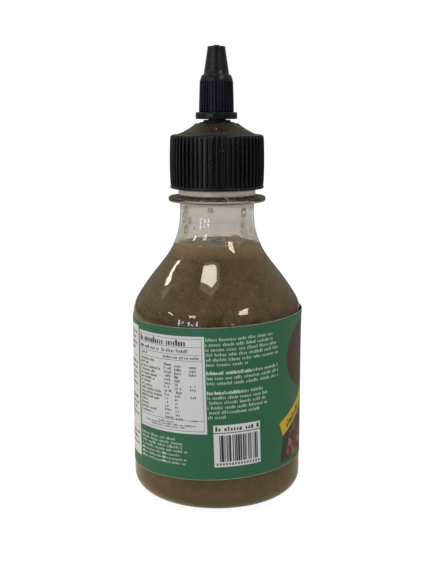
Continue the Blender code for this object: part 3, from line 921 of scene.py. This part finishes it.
evenMarks = 1000.0  # a word so long that its marks are even and have no gaps
printRows = {
    # for each ink its colour, the share of marks left out, and its blocks by their marks:
    # step, width and height of a mark and the length of a word, and then for each block
    # its left end, the right end of each row, the middle of the first row, the pitch and any slant
    "paleText": (tone(184, 204, 190), 0.0, [
        ((0.56, 0.42, 1.05, 4.2), [
            (-2.1, [20.9, 20.9, 22.3, 23.0, 23.3, 11.2], 47.3, 1.66),
            (-2.1, [23.0, 23.1, 23.1], 36.25, 1.72),
            (-2.1, [16.5, 18.4, 17.5, 18.0, 15.5, 4.0], 29.6, 1.64)]),
        ((0.58, 0.48, 0.95, 5.0), [(-30.3, [-14.3, -11.5, -11.8, -10.0], 13.4, 1.32)]),
        ((0.52, 0.42, 0.80, 7.0), [
            (-28.3, [-20.4, -20.2, -20.0], 8.0, 1.35), (-17.6, [-13.0, -10.2, -10.6], 8.0, 1.35)]),
    ]),
    "boldPaleText": (tone(208, 220, 210), 0.0, [
        ((0.62, 0.56, 1.15, 7.0), [(-2.1, [12.5], 36.25), (-2.1, [8.5], 29.6)]),
        ((1.2, 0.8, 0.7, evenMarks), [(-29.9, [-29.1] * 3, 8.0, 1.35), (-19.2, [-18.4] * 3, 8.0, 1.35)]),
    ]),
    "darkText": (tone(66, 64, 66), 0.0, [
        ((0.60, 0.46, 1.2, 4.0), [(-29.6, [-19.7], 43.4), (-18.0, [-8.5], 43.4)]),
        ((0.48, 0.38, 0.85, 5.0), [(-29.4, [-25.8], 41.2)]),
        ((0.48, 0.42, 0.95, 5.0), [(-17.5, [-14.2], 41.2), (-13.4, [-10.2], 41.2), (-9.3, [-4.3], 41.2)]),
        ((0.48, 0.38, 0.85, 4.0), [
            (-29.4, [-22.0, -25.0, -19.4, -21.9, -21.0, -22.2, -24.3, -23.7, -19.4, -18.8, -19.7, -26.3,
                     -25.4, -21.7, -23.3], 39.2, 1.27)]),
        ((0.50, 0.42, 0.85, 9.0), [
            (-17.3, [-14.8, -14.9, -14.8, -15.3, -15.4, -15.4, -15.9, -14.9, -15.9, -16.4, -16.5, -16.4,
                     -15.4, -16.0, -14.5], 38.6, 1.27),
            (-13.2, [-11.1, -11.1, -11.1, -11.7, -11.7, -11.8, -11.3, -11.0, -11.5, -12.6, -12.2, -12.5,
                     -12.3, -12.1, -10.4], 38.3, 1.27),
            (-7.9, [-5.8] * 3, 38.1, 1.27), (-7.6, [-6.2] * 2, 31.8, 1.27), (-7.6, [-6.2] * 2, 28.0, 7.8)]),
        ((0.44, 0.34, 0.55, 3.5), [(-20.5, [-14.5], 19.2), (-27.5, [-6.5], 18.4), (-24.5, [-10.5], 17.6)]),
        ((0.98, 0.55, 0.75, evenMarks), [(0.4, [14.6], 5.3)]),
        ((0.55, 0.42, 0.95, 4.0), [
            (-44.5, [-33.0, -34.5, -33.5, -36.0], 46.8, 1.9),
            (-44.5, [-33.0, -34.0, -33.2, -35.0, -33.0], 36.4, 1.9),
            (-44.5, [-33.4, -33.0, -35.5, -33.0, -38.0], 24.2, 1.9),
            (-44.5, [-33.0, -34.5, -33.5], 11.8, 1.9)]),
    ]),
    "boldDarkText": (tone(46, 42, 44), 0.0, [
        ((0.92, 0.74, 2.0, 8.0), [(-29.3, [-9.4], 46.1)]),
        ((0.98, 0.80, 1.45, 6.0), [(0.35, [14.4], 17.35)]),
        ((1.15, 0.92, 2.3, 7.0), [(28.3, [48.9], 14.35, 1, 10.3)]),
    ]),
    "bars": (tone(38, 31, 35), 0.40, [((0.165, 0.17, 9.0, evenMarks), [(1.15, [14.2], 10.65)])]),
}


def guideMesh(name, size, left, rights, middle, pitch=1, slant=0):
    # one edge under each row of marks of this size
    points = []
    for row, right in enumerate(rights):
        foot = middle - size / 2 - pitch * row
        points += [(left * mm, foot * mm, 0), (right * mm, (foot + slant) * mm, 0)]
    mesh = bpy.data.meshes.new(name)
    mesh.from_pydata(points, [(i, i + 1) for i in range(0, len(points), 2)], [])
    return mesh


def makePrint():
    tree = markTree()
    for name, (colour, gaps, kinds) in printRows.items():
        faded = tuple(c * 0.8 + 0.03 for c in colour[:3]) + (1.0,)
        ink = grainFinish(name + "Ink", 0.5, 1.1, faded, colour, 3.0)
        blocks = [(marks, block) for marks, group in kinds for block in group]
        grown = []
        for number, ((step, width, height, word), block) in enumerate(blocks):
            values = {"Step": step * mm, "Mark width": width * mm, "Mark height": height * mm,
                      "Word length": word * mm, "Gap share": gaps, "Seed": 3 * number + 2, "Material": ink}
            guides = guideMesh(name + str(number), height, *block)
            grown.append(grow(name + str(number), tree, values, guides))
        settle(joinPieces(name, grown), ink, "label")


makePrint()


# Cap: skirt with its ribs, dished top with dust and crumbs, and the nozzle

capLow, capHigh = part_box("cap")
cap = {
    "foot": capLow.z / mm, "lipHeight": 1.0, "lipRadius": 15.9, "lipEdge": 0.3, "skirtTop": 124.4,
    "coreRadius": 15.15, "boreRadius": 13.35, "cornerRadius": 0.5,
    "dishTop": 128.1, "dishRim": 7.2, "dishRadius": 22.0, "dishSteep": 50, "dishShallow": 68,
    "nozzleRadius": 4.6, "footRadius": 6.0, "footHeight": 0.35, "tipGap": 0.3, "round": 0.3,
    "spigotRadius": 3.0, "spigotTop": capHigh.z / mm, "mouthGap": 0.3, "steps": 168,
    "ribs": 56, "ribWidth": 0.84, "ribFoot": 15.4, "ribMiddle": 15.9, "ribHead": 15.36,
    "black": tone(9, 9, 12), "sheen": tone(17, 16, 18), "dust": tone(72, 65, 56),
    "roughness": 0.25, "gloss": 0.34, "glossTint": (0.88, 0.91, 1.0, 1.0),
    "dirtyRing": (11.5, 14.3, 1.6),
}
capDirt = {
    "crumbsFrom": 11.6, "dark": tone(34, 31, 28), "pale": tone(112, 102, 86), "speck": tone(166, 158, 144),
    "crumbs": {"density": 4.5e5, "sizes": (0.07, 0.3), "thinning": 1000.0, "flatness": 0.7, "seed": 8},
    "specks": [
        # (radius, turn, height), half width, how many times taller
        ((10.0, -1.5, 126.35), 0.26, 1.9), ((16.2, 3.0, 119.6), 0.10, 1.0), ((16.2, 7.6, 119.6), 0.12, 1.0),
        ((15.9, 27, 107.0), 0.13, 1.0), ((16.1, -31, 121.0), 0.08, 1.0), ((16.1, -52, 114.0), 0.08, 1.0),
    ],
}
tipLow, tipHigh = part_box("tip")


def capFinish(name, look, dusty):
    # black moulded plastic with a slight bloom, and dust where the cap's top slopes
    material, nodes = newFinish(name, {
        "IOR": 1.49, "Specular IOR Level": look["gloss"], "Specular Tint": look["glossTint"]})
    spot, (x, y, z) = nodes.place()
    bloom = nodes.grain(spot, 4, 4.0).above(0.55, 0.5)
    colour = nodes.blend(bloom * 0.6, look["black"], look["sheen"])
    roughness = look["roughness"] + bloom * 0.1
    if dusty:
        radius = distance(x, y)
        onDish = z.above(cap["skirtTop"] - 0.1, 0.2) * (1 - radius.above(cap["coreRadius"] - 0.6, 0.5))
        patches = nodes.grain(spot, 1.3, 5.0).above(0.5, 0.35)
        ringDirt = radius.between(*cap["dirtyRing"]) * nodes.grain(spot, 0.9, 3.0).above(0.5, 0.2)
        dust = onDish * (0.06 + patches * 0.42 + ringDirt * 0.4)
        colour = nodes.blend(dust, colour, cap["dust"])
        roughness = roughness + dust * 0.5
    nodes.paint({"Base Color": colour, "Roughness": roughness,
                 "Normal": nodes.bump(nodes.grain(spot, 0.9, 2.0), 0.08, 0.1)})
    return material


def makeCap():
    tipFoot = tipLow.z / mm - cap["tipGap"]
    lipTop = cap["foot"] + cap["lipHeight"]
    ceiling = shell["mouthHeight"] + cap["mouthGap"]
    collarTop = cap["dishTop"] + cap["footHeight"]
    lip, edge, corner, small = cap["lipRadius"], cap["lipEdge"], cap["cornerRadius"], cap["round"]
    dish = [(cap["dishRim"], cap["dishTop"])]
    dish += bend(dish[0], cap["dishRadius"], cap["dishSteep"], cap["dishShallow"], 14)
    outline = [
        (0, cap["spigotTop"]), (cap["spigotRadius"] - small, cap["spigotTop"]),
        (cap["spigotRadius"], cap["spigotTop"] - small), (cap["spigotRadius"], tipFoot),
        *arc((cap["nozzleRadius"] - small, tipFoot - small), small, 90, 0, 4),
        (cap["nozzleRadius"], collarTop + 0.2),
        *arc((cap["footRadius"] - 0.2, collarTop - 0.2), 0.2, 90, 0, 3),
        (cap["footRadius"] + 0.1, cap["dishTop"]), *dish,
        *arc((cap["coreRadius"] - corner, cap["skirtTop"] - corner), corner, 80, 0, 5),
        (cap["coreRadius"], lipTop),
        *arc((lip - edge, lipTop - edge), edge, 90, 0, 4),
        *arc((lip - edge, cap["foot"] + edge), edge, 0, -90, 4),
        (cap["boreRadius"] + small, cap["foot"]), (cap["boreRadius"], cap["foot"] + small),
        (cap["boreRadius"], ceiling), (0, ceiling),
    ]
    finish = capFinish("capPlastic", cap, True)
    settle(lathe("capBody", outline, evenTurns(cap["steps"])), finish, "cap", "cap")
    makeRibs("capRibs", cap, lipTop - 0.3, cap["skirtTop"] - 0.12, 0.0, finish, "cap")
    return dish


def makeCapDirt(dish):
    # crumbs that have gathered at the foot of the sloping top, and a few pale specks
    bed = lathe("crumbBed", [point for point in dish if point[0] > capDirt["crumbsFrom"]], evenTurns(96))
    finish = grainFinish("crumbs", 0.7, 1.1, capDirt["dark"], capDirt["pale"], sharp=0.1)
    crumbs = strew("capCrumbs", bed.data, finish, capDirt["crumbs"])
    bpy.data.objects.remove(bed)
    settle(crumbs, finish, "cap")
    made = bmesh.new()
    for spot, size, tall in capDirt["specks"]:
        shape = Matrix.Diagonal((size * mm, size * mm, size * tall * mm, 1))
        place = Matrix.Translation(onCircle(*spot)) @ shape
        bmesh.ops.create_icosphere(made, subdivisions=1, radius=1.0, matrix=place)
    finish = grainFinish("paleSpecks", 0.6, 0.4, capDirt["speck"], capDirt["pale"])
    settle(newPiece("capSpecks", made), finish, "cap")


makeCapDirt(makeCap())


# Tip: flange, ribbed sleeve, ledge and a taper with faint flats

tip = {
    "shift": (tipLow.x + tipHigh.x) / 2 / mm, "foot": tipLow.z / mm, "flangeTop": 131.8,
    "flangeRadius": 7.0, "edge": 0.3, "coreRadius": 5.2, "sleeveTop": 142.3, "collarRadius": 5.45,
    "ledgeHeight": 144.1, "ledgeRadius": 4.95, "coneFoot": 4.3, "coneHead": 3.05, "coneTop": 152.6,
    "top": 153.5, "dotRadius": 1.1, "dotHeight": 0.35, "socketRadius": 3.5, "socketTop": 135.7,
    "flats": 14, "flatness": 0.5, "steps": 168, "coneSteps": 6,
    "ribs": 34, "ribWidth": 0.56, "ribFoot": 5.62, "ribMiddle": 5.5, "ribHead": 5.3,
    "black": tone(14, 16, 21), "sheen": tone(24, 26, 33),
    "roughness": 0.24, "gloss": 0.36, "glossTint": (0.6, 0.68, 0.86, 1.0),
}


def makeTip():
    edge, foot, steps = tip["edge"], tip["foot"], tip["coneSteps"]
    flange = tip["flangeRadius"] - edge
    dotTop = tip["top"] + tip["dotHeight"]
    wider = tip["coneFoot"] - tip["coneHead"]
    lower = tip["ledgeHeight"] + 0.3 - tip["coneTop"]
    outline = [
        (0, dotTop), *arc((tip["dotRadius"] - 0.25, dotTop - 0.25), 0.25, 90, 0, 3),
        (tip["dotRadius"], tip["top"]), (tip["coneHead"] - 0.6, tip["top"]),
        *arc((tip["coneHead"] - 0.55, tip["top"] - 0.5), 0.5, 80, 8, 4),
        *[(tip["coneHead"] + wider * step / steps, tip["coneTop"] + lower * step / steps)
          for step in range(steps + 1)],
        (tip["coneFoot"] + 0.15, tip["ledgeHeight"]),
        *arc((tip["ledgeRadius"] - 0.2, tip["ledgeHeight"] - 0.2), 0.2, 90, 10, 3),
        (tip["collarRadius"], tip["sleeveTop"] + 0.2), (tip["collarRadius"], tip["sleeveTop"] - 0.2),
        (tip["coreRadius"], tip["sleeveTop"] - 0.5), (tip["coreRadius"] + 0.1, tip["flangeTop"]),
        *arc((flange, tip["flangeTop"] - edge), edge, 90, 0, 4),
        *arc((flange, foot + edge), edge, 0, -90, 4),
        (tip["socketRadius"] + 0.2, foot), (tip["socketRadius"], foot + 0.2),
        (tip["socketRadius"], tip["socketTop"]), (0, tip["socketTop"]),
    ]
    facet = 360 / tip["flats"]

    def flattened(radius, turn, height):
        # the taper has faint upright flats between its head and its foot
        if tip["ledgeHeight"] + 0.2 < height < tip["coneTop"] + 0.1:
            off = math.radians((turn % facet) - facet / 2)
            flat = math.cos(math.radians(facet / 2)) / math.cos(off)
            radius *= 1 + (flat - 1) * tip["flatness"]
        return radius, turn, height

    sleeve = lathe("tipBody", outline, evenTurns(tip["steps"]), flattened)
    sleeve.data.transform(Matrix.Translation((tip["shift"] * mm, 0, 0)))
    finish = capFinish("tipPlastic", tip, False)
    settle(sleeve, finish, "tip", "tip")
    makeRibs("tipRibs", tip, tip["flangeTop"] - 0.2, tip["sleeveTop"] + 0.25, tip["shift"], finish, "tip")


makeTip()


# Stage: a pale floor, soft light all round, and bright panes that only show as reflections

def upright(left, right, low, high, lean=0):
    # the corners of an upright pane, as azimuths and elevations in degrees
    return [(left, low), (right, low), (right + lean, high), (left + lean, high)]


lampColour = (1.0, 0.89, 0.72)
windowColour = (0.72, 0.82, 1.0)
skyColour = (0.68, 0.76, 1.0)
darkColour = (0.03, 0.03, 0.03)
stage = {
    "floorRadius": 3.0, "floorShade": 0.9, "floorGlow": 1.18, "floorGlowShare": 0.8,
    "backdrop": (1.0, 1.0, 1.0, 1.0), "roomColour": (1.0, 0.985, 0.96, 1.0),
    "roomLow": 0.46, "roomHigh": 0.98,
    "mirrorLow": (0.16, 0.155, 0.15, 1.0), "mirrorHigh": (0.50, 0.42, 0.29, 1.0),
    "mirrorTop": (0.32, 0.27, 0.20, 1.0), "mirrorLeft": 0.8, "mirrorRight": 0.45, "litLeft": 0.28,
    "floorNear": (0.46, 0.40, 0.30, 1.0), "floorNearLeft": (0.72, 0.60, 0.42, 1.0), "nearRadius": 0.75,
    "paneDistance": 1.6, "paneHeight": 78.0,
    # colour, strength, then the corners as (azimuth, elevation) seen from the bottle
    "panes": {
        "ceilingPane": (lampColour, 13.5, [
            (-17, 67.4), (0, 67.4), (-2, 66), (-14, 61.9), (-31, 62.6), (-46.7, 61.2), (-47.5, 63.4),
            (-39, 65.2)]),
        "ceilingDim": (lampColour, 1.7, [
            (-46, 60.8), (-43, 57), (-13, 57), (5.5, 62.2), (9.5, 67.5), (-2, 68.5), (-30, 66), (-45, 63.5)]),
        "sidePane": (lampColour, 13.5, [
            (-120, 33.2), (-112, 32.4), (-107, 36), (-108.5, 38.5), (-113, 36.5), (-119, 34.6)]),
        "sideDim": (lampColour, 1.5, [(-111, 30.5), (-101, 31), (-97.5, 37), (-104, 38.5)]),
        "rightPane": (lampColour, 13.5, [
            (31.5, 28), (45, 27), (47, 33), (53, 40), (52, 43), (43, 40.5), (35, 37)]),
        "leftPane": ((1.0, 0.9, 0.76), 13.5, [(-75, 21.5), (-72, 23.5), (-63.5, 20.5), (-65.5, 17.5)]),
        "middlePane": ((1.0, 0.92, 0.8), 9.0, [(-41, 25.7), (-30, 25.5), (-30, 19), (-39, 19.5)]),
        "smallDim": ((1.0, 0.92, 0.8), 4.0, [(17, 5.5), (23, 6), (19.5, 2.5)]),
        "window1": (windowColour, 11.0, upright(-53.5, -51, -10, 11, 1)),
        "window2": (windowColour, 7.0, [(-48, 2), (-45.5, 2), (-45, 9), (-47, 9)]),
        "window3": (windowColour, 10.0, upright(-39.5, -37, -9, 10, 0.5)),
        "window4": (windowColour, 9.0, upright(-35, -32.5, -8, 4, 0.5)),
        "window5": (windowColour, 11.0, upright(-28, -25.5, -9, 11, 0.5)),
        "windowHaze": ((0.78, 0.88, 1.0), 1.8, upright(-60, -20, -9, -1.2)),
    },
    # dark parts of the room, which show as dark patches in gloss
    "darkPanes": {
        "darkFront": (darkColour, 1.0, upright(-12, 9, -20, 31)),
        "darkRight": (darkColour, 1.0, [(47, -12), (61, -12), (61, 9), (47, 10)]),
        "darkLeft": (darkColour, 1.0, [(-98, -12), (-76, -12), (-76, -3), (-98, 3)]),
        "darkFarLeft": (darkColour, 1.0, [(-150, -25), (-114, -25), (-116, -2), (-140, -3)]),
    },
    # wide faint ones behind the rest
    "sheens": {
        "leftSheen": (skyColour, 0.6, upright(-75, -14, 3.6, 7.6)),
        "leftStripe": ((0.7, 0.78, 1.0), 2.0, upright(-34, -20, 3.2, 8)),
        "rightSheen": (skyColour, 0.5, upright(16, 75, 3.6, 7.6)),
        "rightGlow": ((0.85, 0.9, 1.0), 0.22, upright(14, 44, -9, 3)),
    },
    # how many pane distances off each group starts, and the step from one pane to the next
    "groups": {"panes": (1.0, 0.01), "darkPanes": (1.3, 0.0), "sheens": (1.6, -0.05)},
}


def newGlow(name):
    # a material whose surface is still to be joined, its nodes and the surface's socket
    material = bpy.data.materials.new(name)
    material.use_nodes = True
    surface = material.node_tree.nodes["Material Output"].inputs["Surface"]
    return material, Nodes(material.node_tree), surface


def makeFloor():
    made = bmesh.new()
    bmesh.ops.create_circle(made, cap_ends=True, segments=96, radius=stage["floorRadius"])
    floor = newPiece("floor", made)
    material, nodes, surface = newGlow("paleFloor")
    shade = stage["floorShade"]
    matte = nodes.add("ShaderNodeBsdfDiffuse", None, {"Color": (shade, shade, shade, 1.0)})
    glow = nodes.add("ShaderNodeEmission", None, {"Strength": stage["floorGlow"]})
    x, y = nodes.parts(nodes.add("ShaderNodeTexCoord", out="Object"))[:2]
    out = distance(x, y)
    near = nodes.blend((x * -1 / out).above(0.55, 0.9), stage["floorNear"], stage["floorNearLeft"])
    sheen = nodes.blend(out.above(stage["nearRadius"], 0.5), near, stage["mirrorLow"])
    dim = nodes.add("ShaderNodeEmission", None, {"Color": sheen, "Strength": 1.0})
    seen, mirrored = nodes.rayKinds()
    mixed = nodes.blendShaders(seen * stage["floorGlowShare"], matte, glow)
    nodes.feed(surface, nodes.blendShaders(mirrored, mixed, dim))
    floor.data.materials.append(material)


def makeRoom():
    # white to the camera, soft light all round, and dimmer where it shows as a reflection
    world = bpy.data.worlds.new("room")
    world.use_nodes = True
    bpy.context.scene.world = world
    nodes = Nodes(world.node_tree)
    across, height = nodes.parts(nodes.add("ShaderNodeTexCoord", out="Generated"))[::2]
    lit = stage["roomLow"] + height.math("MAXIMUM", 0.0) * (stage["roomHigh"] - stage["roomLow"])
    lit = lit * (1 - across * stage["litLeft"])
    tint = nodes.blend(height.above(0.24, 0.5), stage["mirrorLow"], stage["mirrorHigh"])
    tint = nodes.blend(height.above(0.88, 0.1), tint, stage["mirrorTop"])
    sideways = (across * -1).math("MAXIMUM", 0.0) * stage["mirrorLeft"]
    sideways = sideways + across.math("MAXIMUM", 0.0) * stage["mirrorRight"]
    room, dimRoom, backdrop = [
        nodes.add("ShaderNodeBackground", None, {"Color": colour, "Strength": strength})
        for colour, strength in ((stage["roomColour"], lit), (tint, sideways + 1), (stage["backdrop"], 1.0))]
    seen, mirrored = nodes.rayKinds()
    mixed = nodes.blendShaders(mirrored, room, dimRoom)
    nodes.feed(world.node_tree.nodes["World Output"].inputs["Surface"],
               nodes.blendShaders(seen, mixed, backdrop))


def makePane(name, colour, strength, corners, share):
    # a glowing or dark outline far off, which lights nothing matte and only shows in gloss
    made = bmesh.new()
    points = []
    for azimuth, elevation in corners:
        a, e = math.radians(azimuth), math.radians(elevation)
        way = Vector((math.sin(a) * math.cos(e), -math.cos(a) * math.cos(e), math.sin(e)))
        middle = Vector((0, 0, stage["paneHeight"] * mm))
        points.append(made.verts.new(way * stage["paneDistance"] * share + middle))
    made.faces.new(points)
    bmesh.ops.triangulate(made, faces=made.faces)
    pane = newPiece(name, made)
    material, nodes, surface = newGlow(name)
    glow = nodes.add("ShaderNodeEmission", None, {"Color": (*colour, 1.0), "Strength": strength})
    nodes.feed(surface, glow)
    pane.data.materials.append(material)
    pane.visible_camera = False
    pane.visible_diffuse = False
    pane.visible_transmission = False
    pane.visible_shadow = False


def makeStage():
    makeFloor()
    makeRoom()
    for group, (first, gap) in stage["groups"].items():
        for step, (name, (colour, strength, corners)) in enumerate(stage[group].items()):
            makePane(name, colour, strength, corners, first + step * gap)
    bpy.context.scene.view_settings.view_transform = "Standard"
    print("stage ready")


makeStage()


# Camera: where the photograph was taken from

camera = {
    "place": (-0.00017, -0.358, 0.1352), "pitch": 10.05, "nearest": 0.01,
    "sensor": 36, "focalPixels": 1050, "framePixels": 576,
}


def makeCamera():
    data = bpy.data.cameras.new("camera")
    data.lens = camera["focalPixels"] * camera["sensor"] / camera["framePixels"]
    data.sensor_width = camera["sensor"]
    data.clip_start = camera["nearest"]
    eye = newObject("camera", data)
    eye.location = camera["place"]
    eye.rotation_euler = (math.radians(90 - camera["pitch"]), 0, 0)
    bpy.context.scene.camera = eye


makeCamera()
